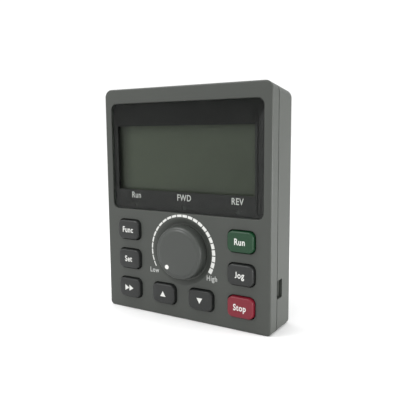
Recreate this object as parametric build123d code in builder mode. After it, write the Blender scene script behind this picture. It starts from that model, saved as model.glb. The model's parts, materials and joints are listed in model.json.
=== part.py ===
from build123d import *
import os

# Operator keypad of a variable frequency drive: display window, eight keys and a speed knob
# in a two-part moulded case.
# Millimetres. +X is to the right and +Z up as the operator sees it, and the front looks
# along -Y. The origin is the centre of the rectangle that the whole keypad fills, at its
# bottom edge.

os.makedirs("parts", exist_ok=True)

# ---- driving dimensions: case -------------------------------------------------------
CASE_W = 72.5
CASE_H = 88.0
CASE_D = 17.2
TOP_FALL = 2.5
KNOB_PROUD = 3.6
CORNER_R = 3.0
BASE_CORNER_R = 1.6
FRONT_EDGE_R = 0.6
REAR_EDGE_R = 1.0
WALL = 1.8
FRONT_WALL = 2.2
REAR_WALL = 2.0

FRONT_Y = -(CASE_D - KNOB_PROUD) / 2
REAR_Y = FRONT_Y + CASE_D
INNER_FRONT_Y = FRONT_Y + FRONT_WALL
INNER_REAR_Y = REAR_Y - REAR_WALL

# The two shells meet on a lap joint with a fine shadow line all round.
SPLIT_DEPTH = 5.3
SHADOW_GAP = 0.45
LAP_DEPTH = 1.6
LAP_CLEAR = 0.1
RIM_SOFT_R = 0.22

# How far a boss or an arm runs into the wall that it grows from.
ROOT = 0.2

FRONT_RIM_Y = FRONT_Y + SPLIT_DEPTH - SHADOW_GAP / 2
REAR_RIM_Y = FRONT_RIM_Y + SHADOW_GAP

# Catch windows in the sides of the rear shell, where the front shell's arms snap in.
CATCH_Z = 15.4
CATCH_H = 6.8
CATCH_DEPTH = 4.2
CATCH_ARM_H = 6.4
CATCH_ARM_T = 1.05
CATCH_NUB = 0.5
CATCH_NUB_LENGTH = 1.0
CATCH_END_GAP = 0.3
CATCH_ARM_INSET = 0.9

# ---- driving dimensions: display window ---------------------------------------------
WINDOW_W = 66.4
WINDOW_H = 41.4
WINDOW_Z = 61.6
WINDOW_R = 2.5
WINDOW_FIT = 0.15
LENS_T = 1.2
LENS_SUNK = 0.05
LENS_EDGE_R = 0.2
MASK_T = 0.1
VIEW_W = 60.4
VIEW_H = 24.8
VIEW_X = -0.9
VIEW_Z = 61.1
VIEW_R = 0.3
BEZEL_SIDE_GAP = 0.4
OPENING_SIDE_GAP = 0.6
POCKET_Y = FRONT_Y + LENS_SUNK + LENS_T + MASK_T
INDICATOR_X = (-22.3, 0.2, 22.7)
INDICATOR_Z = 42.8
INDICATOR_R = 0.8
PIPE_FIT = 0.15
PIPE_FLANGE = 0.45
PIPE_FLANGE_T = 0.8

# ---- driving dimensions: keys -------------------------------------------------------
KEY_W = 10.2
KEY_H = 7.5
KEY_R = 1.9
KEY_PROUD = 1.6
KEY_TRAVEL = 1.0
KEY_GAP = 0.35
KEY_FLANGE = 0.9
KEY_FLANGE_T = 0.8
KEY_EDGE_R = 0.7
KEY_PITCH_X = 16.6
KEY_COLUMNS = [KEY_PITCH_X * place for place in (-1.5, -0.5, 0.5, 1.5)]
KEY_PITCH_Z = 11.85
KEY_ROWS = [9.0 + KEY_PITCH_Z * row for row in range(3)]
KEYS = {
    "func": (KEY_COLUMNS[0], KEY_ROWS[2]),
    "set": (KEY_COLUMNS[0], KEY_ROWS[1]),
    "shift": (KEY_COLUMNS[0], KEY_ROWS[0]),
    "up": (KEY_COLUMNS[1], KEY_ROWS[0]),
    "down": (KEY_COLUMNS[2], KEY_ROWS[0]),
    "run": (KEY_COLUMNS[3], KEY_ROWS[2]),
    "jog": (KEY_COLUMNS[3], KEY_ROWS[1]),
    "stop": (KEY_COLUMNS[3], KEY_ROWS[0]),
}

# ---- driving dimensions: knob and potentiometer -------------------------------------
KNOB_X = 0.0
KNOB_Z = 26.2
KNOB_BASE_R = 10.45
KNOB_FACE_R = 9.95
KNOB_SKIN = 1.4
KNOB_WALL = 1.3
KNOB_EDGE_R = 0.9
HUB_R = 4.0
HUB_HOLE_R = 4.5
DISH_R = 12.8
DISH_FLOOR_R = 10.9
DISH_DEPTH = 0.8
DOT_R = 0.85
DOT_T = 0.3
DOT_PLACE = (-4.8, -5.6)
SHAFT_R = 3.0
SHAFT_FLAT = 1.5
RUNNING_FIT = 0.05
SLIP_FIT = 0.02

# ---- driving dimensions: circuit board and what stands on it ------------------------
BOARD_W = 65.2
BOARD_LOW_Z = 2.8
BOARD_HIGH_Z = 83.8
BOARD_T = 1.6
BOARD_FRONT_Y = 0.2
BOARD_REAR_Y = BOARD_FRONT_Y + BOARD_T
PAD_T = 0.1
PAD_W = 1.9
PAD_H = 3.6
PAD_SPREAD = 1.1

SOCKET_PITCH = 2.54
SOCKET_ROWS = 2
SOCKET_WAYS = 5
SOCKET_W = 13.0
SOCKET_H = 5.1
SOCKET_LENGTH = 8.5
SOCKET_Z = 64.0
SOCKET_HOLE = 0.9
SOCKET_OPENING_GAP = 0.7

# ---- driving dimensions: blank label recess in the back ------------------------------
LABEL_W = 44.0
LABEL_H = 20.0
LABEL_Z = 30.0
LABEL_R = 1.5
LABEL_DEPTH = 0.3

# ---- driving dimensions: screws and inserts -----------------------------------------
CASE_SCREWS = ((-30.0, 80.5), (30.0, 80.5), (-16.6, 6.2), (16.6, 6.2))
BOARD_SCREWS = ((-30.5, 39.6), (30.5, 39.6), (0.0, 80.5))
BOSS_R = 2.0
COLUMN_R = 3.2
PILOT_R = 0.85
PILOT_DEPTH = 4.6
SCREW_R = 0.82
SCREW_CLEAR_R = 1.25
HEAD_R = 2.0
HEAD_T = 1.3
COUNTERBORE_R = 2.3
COUNTERBORE_DEPTH = 6.0
INSERTS = ((-26.0, 47.0), (26.0, 47.0))
INSERT_R = 2.1
INSERT_LENGTH = 4.0
INSERT_THREAD_R = 1.25
INSERT_BOSS_R = 3.7
INSERT_BOSS_FLOOR = 1.0


def facing(y):
    """The sketch plane at depth y: its X is the keypad's X and its Y is the keypad's Z."""
    return Plane.XZ.offset(-y)


def save(piece, name):
    """Label a finished piece and write it as a node of its own."""
    piece.part.label = name
    export_step(piece.part, f"parts/{name}.step")


# ---- case: the form that both shells are cut from -----------------------------------
TOP_SLOPE = TOP_FALL / CASE_D
LEAST_CORNER_R = 0.4


def case_block(inset, front_y, rear_y):
    """The case's form between two depths, drawn in by inset. Its top falls to the back."""
    half_w = CASE_W / 2 - inset
    front_top = CASE_H - inset - TOP_SLOPE * (front_y - FRONT_Y)
    rear_top = CASE_H - inset - TOP_SLOPE * (rear_y - FRONT_Y)
    side_view = ((front_y, inset), (rear_y, inset), (rear_y, rear_top), (front_y, front_top))
    with BuildPart() as block:
        with BuildSketch(Plane.YZ.offset(-half_w)):
            with BuildLine():
                Polyline(*side_view, close=True)
            make_face()
        extrude(amount=2 * half_w)
        top_sides = block.faces().sort_by(Axis.Z)[-1].edges().filter_by(Axis.X, reverse=True)
        fillet(top_sides, max(CORNER_R - inset, LEAST_CORNER_R))
        base_sides = block.faces().sort_by(Axis.Z)[0].edges().filter_by(Axis.Y)
        fillet(base_sides, max(BASE_CORNER_R - inset, LEAST_CORNER_R))
    return block.part


front_form = case_block(0, FRONT_Y, FRONT_RIM_Y)
front_hollow = case_block(WALL, INNER_FRONT_Y, FRONT_RIM_Y)
front_lap = case_block(WALL / 2, FRONT_RIM_Y - LAP_DEPTH, FRONT_RIM_Y)
rear_form = case_block(0, REAR_RIM_Y, REAR_Y)
rear_lip = case_block(WALL / 2 + LAP_CLEAR, REAR_RIM_Y - LAP_DEPTH, REAR_RIM_Y + WALL)
rear_hollow = case_block(WALL, REAR_RIM_Y - LAP_DEPTH, INNER_REAR_Y)

# ---- case: front shell --------------------------------------------------------------
with BuildPart() as front_shell:
    add(front_form)
    fillet(front_shell.faces().sort_by(Axis.Y)[0].edges(), FRONT_EDGE_R)
    add(front_hollow, mode=Mode.SUBTRACT)
    add(front_lap, mode=Mode.SUBTRACT)
    # The pocket that the window drops into, and the openings behind it.
    with BuildSketch(facing(POCKET_Y)):
        with Locations((0, WINDOW_Z)):
            RectangleRounded(WINDOW_W, WINDOW_H, WINDOW_R)
    extrude(amount=POCKET_Y - FRONT_Y, mode=Mode.SUBTRACT)
    with BuildSketch(facing(INNER_FRONT_Y)):
        with Locations((VIEW_X, VIEW_Z)):
            Rectangle(VIEW_W + 2 * OPENING_SIDE_GAP, VIEW_H + 2 * OPENING_SIDE_GAP)
        with Locations(*[(x, INDICATOR_Z) for x in INDICATOR_X]):
            Circle(INDICATOR_R + PIPE_FIT)
    extrude(amount=FRONT_WALL, mode=Mode.SUBTRACT)
    # The shallow dish round the knob, its hub hole, and the key openings.
    with Locations((KNOB_X, FRONT_Y + DISH_DEPTH / 2, KNOB_Z)):
        Cone(DISH_FLOOR_R, DISH_R, DISH_DEPTH, rotation=(90, 0, 0), mode=Mode.SUBTRACT)
    with BuildSketch(facing(INNER_FRONT_Y)):
        with Locations((KNOB_X, KNOB_Z)):
            Circle(HUB_HOLE_R)
        with Locations(*KEYS.values()):
            RectangleRounded(KEY_W + 2 * KEY_GAP, KEY_H + 2 * KEY_GAP, KEY_R + KEY_GAP)
    extrude(amount=FRONT_WALL, mode=Mode.SUBTRACT)
    # The front edges of the openings are slightly rounded, as moulded plastic is.
    front_face = front_shell.faces().sort_by(Axis.Y)[0]
    rims = [edge for wire in front_face.inner_wires() for edge in wire.edges()]
    fillet(rims, RIM_SOFT_R)
    # Bosses for the screws, with their pilot holes.
    with BuildSketch(facing(BOARD_FRONT_Y)):
        with Locations(*CASE_SCREWS, *BOARD_SCREWS):
            Circle(BOSS_R)
    extrude(amount=BOARD_FRONT_Y - INNER_FRONT_Y + ROOT)
    with BuildSketch(facing(BOARD_FRONT_Y)):
        with Locations(*CASE_SCREWS, *BOARD_SCREWS):
            Circle(PILOT_R)
    extrude(amount=PILOT_DEPTH, mode=Mode.SUBTRACT)
    # Snap arms that reach back into the rear shell's catch windows.
    arm_end_y = REAR_RIM_Y + CATCH_DEPTH - CATCH_END_GAP
    arm_start_y = INNER_FRONT_Y - ROOT
    arm_x = CASE_W / 2 - WALL - CATCH_ARM_INSET + CATCH_ARM_T / 2
    nub_x = arm_x + CATCH_ARM_T / 2 + CATCH_NUB / 2
    with Locations(*[(side * arm_x, (arm_start_y + arm_end_y) / 2, CATCH_Z) for side in (-1, 1)]):
        Box(CATCH_ARM_T, arm_end_y - arm_start_y, CATCH_ARM_H)
    with Locations(*[(side * nub_x, arm_end_y - CATCH_NUB_LENGTH / 2, CATCH_Z) for side in (-1, 1)]):
        Box(CATCH_NUB, CATCH_NUB_LENGTH, CATCH_ARM_H)
save(front_shell, "front_shell")

# ---- case: rear shell ---------------------------------------------------------------
with BuildPart() as rear_shell:
    add(rear_form)
    fillet(rear_shell.faces().sort_by(Axis.Y)[-1].edges(), REAR_EDGE_R)
    # The lip laps inside the front shell's rim, and the hollow runs on through it.
    add(rear_lip)
    add(rear_hollow, mode=Mode.SUBTRACT)
    # Catch windows, one in each side wall.
    catch_mid_y = REAR_RIM_Y + (CATCH_DEPTH - LAP_DEPTH) / 2
    with Locations(*[(side * CASE_W / 2, catch_mid_y, CATCH_Z) for side in (-1, 1)]):
        Box(3 * WALL, CATCH_DEPTH + LAP_DEPTH, CATCH_H, mode=Mode.SUBTRACT)
    # Screw columns, with deep counterbores from behind.
    with BuildSketch(facing(INNER_REAR_Y + ROOT)):
        with Locations(*CASE_SCREWS):
            Circle(COLUMN_R)
    extrude(amount=INNER_REAR_Y + ROOT - BOARD_REAR_Y)
    with BuildSketch(facing(REAR_Y)):
        with Locations(*CASE_SCREWS):
            Circle(COUNTERBORE_R)
    extrude(amount=COUNTERBORE_DEPTH, mode=Mode.SUBTRACT)
    with BuildSketch(facing(REAR_Y)):
        with Locations(*CASE_SCREWS):
            Circle(SCREW_CLEAR_R)
    extrude(amount=REAR_Y - BOARD_REAR_Y, mode=Mode.SUBTRACT)
    # Bosses for the threaded inserts, the connector opening and a blank label recess.
    with BuildSketch(facing(INNER_REAR_Y + ROOT)):
        with Locations(*INSERTS):
            Circle(INSERT_BOSS_R)
    extrude(amount=INSERT_LENGTH - REAR_WALL + INSERT_BOSS_FLOOR)
    with BuildSketch(facing(REAR_Y)):
        with Locations(*INSERTS):
            Circle(INSERT_R)
    extrude(amount=INSERT_LENGTH, mode=Mode.SUBTRACT)
    with BuildSketch(facing(REAR_Y)):
        with Locations((0, SOCKET_Z)):
            RectangleRounded(SOCKET_W + 2 * SOCKET_OPENING_GAP, SOCKET_H + 2 * SOCKET_OPENING_GAP, 0.6)
    extrude(amount=REAR_WALL, mode=Mode.SUBTRACT)
    with BuildSketch(facing(REAR_Y)):
        with Locations((0, LABEL_Z)):
            RectangleRounded(LABEL_W, LABEL_H, LABEL_R)
    extrude(amount=LABEL_DEPTH, mode=Mode.SUBTRACT)
save(rear_shell, "rear_shell")

# ---- display window -----------------------------------------------------------------
LENS_W = WINDOW_W - 2 * WINDOW_FIT
LENS_H = WINDOW_H - 2 * WINDOW_FIT
LENS_FRONT_Y = FRONT_Y + LENS_SUNK
LENS_REAR_Y = LENS_FRONT_Y + LENS_T

with BuildPart() as window_lens:
    with BuildSketch(facing(LENS_REAR_Y)):
        with Locations((0, WINDOW_Z)):
            RectangleRounded(LENS_W, LENS_H, WINDOW_R - WINDOW_FIT)
    extrude(amount=LENS_T)
    fillet(window_lens.faces().sort_by(Axis.Y)[0].edges(), LENS_EDGE_R)
save(window_lens, "window_lens")

with BuildPart() as window_mask:
    with BuildSketch(facing(POCKET_Y)):
        with Locations((0, WINDOW_Z)):
            RectangleRounded(LENS_W, LENS_H, WINDOW_R - WINDOW_FIT)
        with Locations((VIEW_X, VIEW_Z)):
            RectangleRounded(VIEW_W, VIEW_H, VIEW_R, mode=Mode.SUBTRACT)
        with Locations(*[(x, INDICATOR_Z) for x in INDICATOR_X]):
            Circle(INDICATOR_R, mode=Mode.SUBTRACT)
    extrude(amount=MASK_T)
save(window_mask, "window_mask")

# ---- liquid-crystal display ---------------------------------------------------------
GLASS_W = 63.0
GLASS_T = 0.8
GLASS_HIGH_Z = 76.4
GLASS_LOW_Z = 47.2
LEDGE_LOW_Z = 45.3
BEZEL_FRONT_Y = INNER_FRONT_Y + 0.05
BEZEL_LIP = 0.6
BEZEL_LOW_Z = 44.2
BEZEL_HIGH_Z = 78.0
FRONT_GLASS_Y = BEZEL_FRONT_Y + BEZEL_LIP + 0.05
REAR_GLASS_Y = FRONT_GLASS_Y + GLASS_T + 0.1
BACKLIGHT_Y = REAR_GLASS_Y + GLASS_T + 0.1

with BuildPart() as lcd_front_glass:
    with BuildSketch(facing(FRONT_GLASS_Y + GLASS_T)):
        with Locations((VIEW_X, (LEDGE_LOW_Z + GLASS_HIGH_Z) / 2)):
            Rectangle(GLASS_W, GLASS_HIGH_Z - LEDGE_LOW_Z)
    extrude(amount=GLASS_T)
save(lcd_front_glass, "lcd_front_glass")

with BuildPart() as lcd_rear_glass:
    with BuildSketch(facing(REAR_GLASS_Y + GLASS_T)):
        with Locations((VIEW_X, (GLASS_LOW_Z + GLASS_HIGH_Z) / 2)):
            Rectangle(GLASS_W, GLASS_HIGH_Z - GLASS_LOW_Z)
    extrude(amount=GLASS_T)
save(lcd_rear_glass, "lcd_rear_glass")

with BuildPart() as lcd_backlight:
    with BuildSketch(facing(BOARD_FRONT_Y - 0.05)):
        with Locations((VIEW_X, (GLASS_LOW_Z + GLASS_HIGH_Z) / 2)):
            Rectangle(GLASS_W, GLASS_HIGH_Z - GLASS_LOW_Z)
    extrude(amount=BOARD_FRONT_Y - 0.05 - BACKLIGHT_Y)
    chamfer(lcd_backlight.faces().sort_by(Axis.Y)[0].edges(), 0.3)
save(lcd_backlight, "lcd_backlight")

with BuildPart() as lcd_bezel:
    with BuildSketch(facing(BOARD_FRONT_Y)):
        with Locations((VIEW_X, (BEZEL_LOW_Z + BEZEL_HIGH_Z) / 2)):
            RectangleRounded(GLASS_W + 2.0, BEZEL_HIGH_Z - BEZEL_LOW_Z, 0.8)
    extrude(amount=BOARD_FRONT_Y - BEZEL_FRONT_Y)
    with BuildSketch(facing(BOARD_FRONT_Y)):
        with Locations((VIEW_X, (LEDGE_LOW_Z + GLASS_HIGH_Z) / 2)):
            Rectangle(GLASS_W + 0.2, GLASS_HIGH_Z - LEDGE_LOW_Z + 0.2)
    extrude(amount=BOARD_FRONT_Y - BEZEL_FRONT_Y - BEZEL_LIP, mode=Mode.SUBTRACT)
    with BuildSketch(facing(BOARD_FRONT_Y)):
        with Locations((VIEW_X, VIEW_Z)):
            Rectangle(VIEW_W + 2 * BEZEL_SIDE_GAP, VIEW_H + 2 * BEZEL_SIDE_GAP)
    extrude(amount=BOARD_FRONT_Y - BEZEL_FRONT_Y, mode=Mode.SUBTRACT)
save(lcd_bezel, "lcd_bezel")

with BuildPart() as lcd_connector_strip:
    with BuildSketch(facing(BOARD_FRONT_Y)):
        with Locations((VIEW_X, (LEDGE_LOW_Z + GLASS_LOW_Z) / 2 - 0.05)):
            Rectangle(GLASS_W - 4, 1.5)
    extrude(amount=BOARD_FRONT_Y - FRONT_GLASS_Y - GLASS_T)
save(lcd_connector_strip, "lcd_connector_strip")

# ---- indicators ---------------------------------------------------------------------
LED_W = 1.6
LED_H = 0.8
LED_T = 0.8
PIPE_FRONT_Y = POCKET_Y + 0.05
PIPE_REAR_Y = BOARD_FRONT_Y - LED_T - 0.1

with BuildPart() as light_pipes:
    with BuildSketch(facing(PIPE_REAR_Y)):
        with Locations(*[(x, INDICATOR_Z) for x in INDICATOR_X]):
            Circle(INDICATOR_R)
    extrude(amount=PIPE_REAR_Y - PIPE_FRONT_Y)
    with BuildSketch(facing(INNER_FRONT_Y + PIPE_FLANGE_T + 0.1)):
        with Locations(*[(x, INDICATOR_Z) for x in INDICATOR_X]):
            Circle(INDICATOR_R + PIPE_FLANGE)
    extrude(amount=PIPE_FLANGE_T)
save(light_pipes, "light_pipes")

with BuildPart() as indicator_leds:
    with BuildSketch(facing(BOARD_FRONT_Y)):
        with Locations(*[(x, INDICATOR_Z) for x in INDICATOR_X]):
            Rectangle(LED_W, LED_H)
    extrude(amount=LED_T)
save(indicator_leds, "indicator_leds")

# ---- circuit board ------------------------------------------------------------------
BOARD_MID = (0, (BOARD_LOW_Z + BOARD_HIGH_Z) / 2)
BUSHING_R = 3.5
BUSHING_HOLE_R = BUSHING_R + 0.25

with BuildPart() as main_board:
    with BuildSketch(facing(BOARD_REAR_Y)):
        with Locations(BOARD_MID):
            RectangleRounded(BOARD_W, BOARD_HIGH_Z - BOARD_LOW_Z, 1.0)
        with Locations(*CASE_SCREWS, *BOARD_SCREWS):
            Circle(SCREW_CLEAR_R, mode=Mode.SUBTRACT)
        with Locations((KNOB_X, KNOB_Z)):
            Circle(BUSHING_HOLE_R, mode=Mode.SUBTRACT)
    extrude(amount=BOARD_T)
save(main_board, "main_board")

with BuildPart() as contact_pads:
    with BuildSketch(facing(BOARD_FRONT_Y)):
        for pad_side in (-1, 1):
            with Locations(*[(x + pad_side * PAD_SPREAD, z) for x, z in KEYS.values()]):
                Rectangle(PAD_W, PAD_H)
    extrude(amount=PAD_T)
save(contact_pads, "contact_pads")

# ---- silicone key mat: base sheet with a ring under each key ------------------------
MAT_T = 0.8
RING_TOP_Y = BOARD_FRONT_Y - 2.6
RING_R = 3.5
CELL_R = 2.9
MAT_W = 63.0
MAT_KNOB_HOLE_R = 9.0
MAT_BOSS_GAP = 0.3
MAT_LOW_Z = 3.0
MAT_HIGH_Z = 37.2

with BuildPart() as key_mat:
    with BuildSketch(facing(BOARD_FRONT_Y)):
        with Locations((0, (MAT_LOW_Z + MAT_HIGH_Z) / 2)):
            RectangleRounded(MAT_W, MAT_HIGH_Z - MAT_LOW_Z, 1.5)
        with Locations((KNOB_X, KNOB_Z)):
            Circle(MAT_KNOB_HOLE_R, mode=Mode.SUBTRACT)
        with Locations(CASE_SCREWS[2], CASE_SCREWS[3]):
            Circle(BOSS_R + MAT_BOSS_GAP, mode=Mode.SUBTRACT)
    extrude(amount=MAT_T)
    with BuildSketch(facing(BOARD_FRONT_Y)):
        with Locations(*KEYS.values()):
            Circle(RING_R)
    extrude(amount=BOARD_FRONT_Y - RING_TOP_Y)
    with BuildSketch(facing(BOARD_FRONT_Y)):
        with Locations(*KEYS.values()):
            Circle(CELL_R)
    extrude(amount=BOARD_FRONT_Y - RING_TOP_Y, mode=Mode.SUBTRACT)
save(key_mat, "key_mat")

# ---- keys: a cap, the silicone crown it presses on, and the carbon pill beneath -----
CAP_FRONT_Y = FRONT_Y - KEY_PROUD
FLANGE_FRONT_Y = INNER_FRONT_Y + 0.1
FLANGE_REAR_Y = FLANGE_FRONT_Y + KEY_FLANGE_T
PILL_REAR_Y = BOARD_FRONT_Y - PAD_T - 0.05 - KEY_TRAVEL
PILL_T = 0.5
CROWN_R = 2.4
PILL_R = 2.2


def key_cap(place):
    """A moulded cap with softly rounded edges and a flange that keeps it in the case."""
    with BuildPart() as cap:
        with BuildSketch(facing(FLANGE_REAR_Y)):
            with Locations(place):
                RectangleRounded(KEY_W, KEY_H, KEY_R)
        extrude(amount=FLANGE_REAR_Y - CAP_FRONT_Y)
        fillet(cap.faces().sort_by(Axis.Y)[0].edges(), KEY_EDGE_R)
        with BuildSketch(facing(FLANGE_REAR_Y)):
            with Locations(place):
                RectangleRounded(KEY_W + 2 * KEY_FLANGE, KEY_H + 2 * KEY_FLANGE, KEY_R)
        extrude(amount=KEY_FLANGE_T)
    return cap


def key_crown(place):
    """The silicone crown, tapered towards the cap."""
    with BuildPart() as crown:
        with BuildSketch(facing(PILL_REAR_Y - PILL_T)):
            with Locations(place):
                Circle(CROWN_R)
        extrude(amount=PILL_REAR_Y - PILL_T - FLANGE_REAR_Y)
        chamfer(crown.faces().sort_by(Axis.Y)[0].edges(), 0.3)
    return crown


def key_pill(place):
    """The carbon pill that bridges the two pads."""
    with BuildPart() as pill:
        with BuildSketch(facing(PILL_REAR_Y)):
            with Locations(place):
                Circle(PILL_R)
        extrude(amount=PILL_T)
    return pill


for key_name, key_place in KEYS.items():
    save(key_cap(key_place), f"key_{key_name}")
    save(key_crown(key_place), f"crown_{key_name}")
    save(key_pill(key_place), f"pill_{key_name}")

# ---- knob ---------------------------------------------------------------------------
KNOB_FRONT_Y = FRONT_Y - KNOB_PROUD
KNOB_REAR_Y = FRONT_Y + 0.3
HUB_REAR_Y = INNER_FRONT_Y + 0.6
SHAFT_FRONT_Y = KNOB_FRONT_Y + KNOB_SKIN + 0.3
KNOB_MID_Y = (KNOB_FRONT_Y + KNOB_REAR_Y) / 2

with BuildPart() as knob:
    with Locations((KNOB_X, KNOB_MID_Y, KNOB_Z)):
        Cone(KNOB_BASE_R, KNOB_FACE_R, KNOB_REAR_Y - KNOB_FRONT_Y, rotation=(90, 0, 0))
    fillet(knob.faces().sort_by(Axis.Y)[0].edges(), KNOB_EDGE_R)
    with BuildSketch(facing(KNOB_REAR_Y)):
        with Locations((KNOB_X, KNOB_Z)):
            Circle(KNOB_FACE_R - KNOB_WALL)
            Circle(HUB_R, mode=Mode.SUBTRACT)
    extrude(amount=KNOB_REAR_Y - KNOB_FRONT_Y - KNOB_SKIN, mode=Mode.SUBTRACT)
    with BuildSketch(facing(HUB_REAR_Y)):
        with Locations((KNOB_X, KNOB_Z)):
            Circle(HUB_R)
    extrude(amount=HUB_REAR_Y - KNOB_FRONT_Y - KNOB_SKIN)
    with BuildSketch(facing(HUB_REAR_Y)):
        with Locations((KNOB_X, KNOB_Z)):
            Circle(SHAFT_R + SLIP_FIT)
        with Locations((KNOB_X, KNOB_Z + SHAFT_R + SLIP_FIT)):
            Rectangle(2 * SHAFT_R, 2 * (SHAFT_R - SHAFT_FLAT), mode=Mode.SUBTRACT)
    extrude(amount=HUB_REAR_Y - KNOB_FRONT_Y - KNOB_SKIN, mode=Mode.SUBTRACT)
    with BuildSketch(facing(KNOB_FRONT_Y + DOT_T)):
        with Locations((KNOB_X + DOT_PLACE[0], KNOB_Z + DOT_PLACE[1])):
            Circle(DOT_R + SLIP_FIT)
    extrude(amount=DOT_T, mode=Mode.SUBTRACT)
save(knob, "knob")

with BuildPart() as knob_dot:
    with BuildSketch(facing(KNOB_FRONT_Y + DOT_T)):
        with Locations((KNOB_X + DOT_PLACE[0], KNOB_Z + DOT_PLACE[1])):
            Circle(DOT_R)
    extrude(amount=DOT_T)
save(knob_dot, "knob_dot")

# ---- potentiometer: it stands behind the board, and its shaft passes through --------
POT_W = 11.0
POT_H = 12.0
POT_T = 6.2
POT_REAR_Y = BOARD_REAR_Y + POT_T
POT_CAVITY_R = 4.7
POT_SKIN = 0.8
BUSHING_FRONT_Y = INNER_FRONT_Y + 2.0
SHAFT_REAR_Y = BOARD_REAR_Y + 2.2

with BuildPart() as pot_body:
    with BuildSketch(facing(POT_REAR_Y)):
        with Locations((KNOB_X, KNOB_Z)):
            RectangleRounded(POT_W, POT_H, 0.5)
    extrude(amount=POT_T)
    with BuildSketch(facing(POT_REAR_Y - POT_SKIN)):
        with Locations((KNOB_X, KNOB_Z)):
            Circle(POT_CAVITY_R)
    extrude(amount=POT_T - 2 * POT_SKIN, mode=Mode.SUBTRACT)
    with BuildSketch(facing(POT_REAR_Y - POT_SKIN)):
        with Locations((KNOB_X, KNOB_Z)):
            Circle(BUSHING_R + SLIP_FIT)
    extrude(amount=POT_T - POT_SKIN, mode=Mode.SUBTRACT)
save(pot_body, "pot_body")

with BuildPart() as pot_bushing:
    with BuildSketch(facing(BOARD_REAR_Y + POT_SKIN)):
        with Locations((KNOB_X, KNOB_Z)):
            Circle(BUSHING_R)
            Circle(SHAFT_R + RUNNING_FIT, mode=Mode.SUBTRACT)
    extrude(amount=BOARD_REAR_Y + POT_SKIN - BUSHING_FRONT_Y)
save(pot_bushing, "pot_bushing")

with BuildPart() as pot_shaft:
    with BuildSketch(facing(SHAFT_REAR_Y)):
        with Locations((KNOB_X, KNOB_Z)):
            Circle(SHAFT_R)
    extrude(amount=SHAFT_REAR_Y - HUB_REAR_Y)
    with BuildSketch(facing(HUB_REAR_Y)):
        with Locations((KNOB_X, KNOB_Z)):
            Circle(SHAFT_R)
        with Locations((KNOB_X, KNOB_Z + SHAFT_R)):
            Rectangle(2 * SHAFT_R, 2 * (SHAFT_R - SHAFT_FLAT + SLIP_FIT), mode=Mode.SUBTRACT)
    extrude(amount=HUB_REAR_Y - SHAFT_FRONT_Y)
save(pot_shaft, "pot_shaft")

WIPER_R = 4.2
WIPER_T = 0.5
WIPER_FINGER_R = 0.45
WIPER_FINGERS = (2.4, 1.3)
WIPER_GAP = 0.1
WIPER_Y = SHAFT_REAR_Y + WIPER_T
TRACK_R = 4.4
TRACK_HOLE_R = 0.9
TRACK_GAP_W = 1.2
TRACK_T = 0.4
TRACK_Y = POT_REAR_Y - POT_SKIN

with BuildPart() as pot_wiper:
    with BuildSketch(facing(WIPER_Y)):
        with Locations((KNOB_X, KNOB_Z)):
            Circle(WIPER_R)
    extrude(amount=WIPER_T)
    with BuildSketch(facing(TRACK_Y - TRACK_T - WIPER_GAP)):
        with Locations(*[(KNOB_X + out, KNOB_Z + out) for out in WIPER_FINGERS]):
            Circle(WIPER_FINGER_R)
    extrude(amount=TRACK_Y - TRACK_T - WIPER_GAP - WIPER_Y)
save(pot_wiper, "pot_wiper")

with BuildPart() as pot_track:
    with BuildSketch(facing(TRACK_Y)):
        with Locations((KNOB_X, KNOB_Z)):
            Circle(TRACK_R)
            Circle(TRACK_HOLE_R, mode=Mode.SUBTRACT)
        with Locations((KNOB_X, KNOB_Z - TRACK_R)):
            Rectangle(TRACK_GAP_W, TRACK_R, mode=Mode.SUBTRACT)
    extrude(amount=TRACK_T)
save(pot_track, "pot_track")

with BuildPart() as pot_terminals:
    for pin in (-1, 0, 1):
        with Locations((pin * 2.5, BOARD_REAR_Y + 0.1 + 0.4, KNOB_Z - POT_H / 2 - 0.8)):
            Box(0.8, 0.8, 1.5)
        with Locations((pin * 2.5, BOARD_REAR_Y + 0.1 + 1.3, KNOB_Z - POT_H / 2 - 0.4)):
            Box(0.8, 1.2, 0.7)
save(pot_terminals, "pot_terminals")

# ---- rear connector: a two-row pin socket that plugs onto the drive -----------------
SOCKET_REAR_Y = BOARD_REAR_Y + SOCKET_LENGTH

with BuildPart() as rear_socket:
    with BuildSketch(facing(SOCKET_REAR_Y)):
        with Locations((0, SOCKET_Z)):
            RectangleRounded(SOCKET_W, SOCKET_H, 0.3)
            with GridLocations(SOCKET_PITCH, SOCKET_PITCH, SOCKET_WAYS, SOCKET_ROWS):
                Rectangle(SOCKET_HOLE, SOCKET_HOLE, mode=Mode.SUBTRACT)
    extrude(amount=SOCKET_LENGTH)
save(rear_socket, "rear_socket")

with BuildPart() as socket_contacts:
    with BuildSketch(facing(SOCKET_REAR_Y - 2.5)):
        with Locations((0, SOCKET_Z)):
            with GridLocations(SOCKET_PITCH, SOCKET_PITCH, SOCKET_WAYS, SOCKET_ROWS):
                Rectangle(SOCKET_HOLE - 0.1, SOCKET_HOLE - 0.1)
    extrude(amount=SOCKET_LENGTH - 2.6)
save(socket_contacts, "socket_contacts")

# ---- electronics on the back of the board -------------------------------------------
with BuildPart() as microcontroller:
    with BuildSketch(facing(BOARD_REAR_Y + 1.6)):
        with Locations((-15, 62)):
            Rectangle(10, 10)
    extrude(amount=1.4)
    for turn in (0, 90):
        with BuildSketch(facing(BOARD_REAR_Y + 0.55)):
            with Locations(Location((-15, 62), turn)):
                with GridLocations(0.8, 11.4, 12, 2):
                    Rectangle(0.35, 1.5)
        extrude(amount=0.5)
save(microcontroller, "microcontroller")

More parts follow.
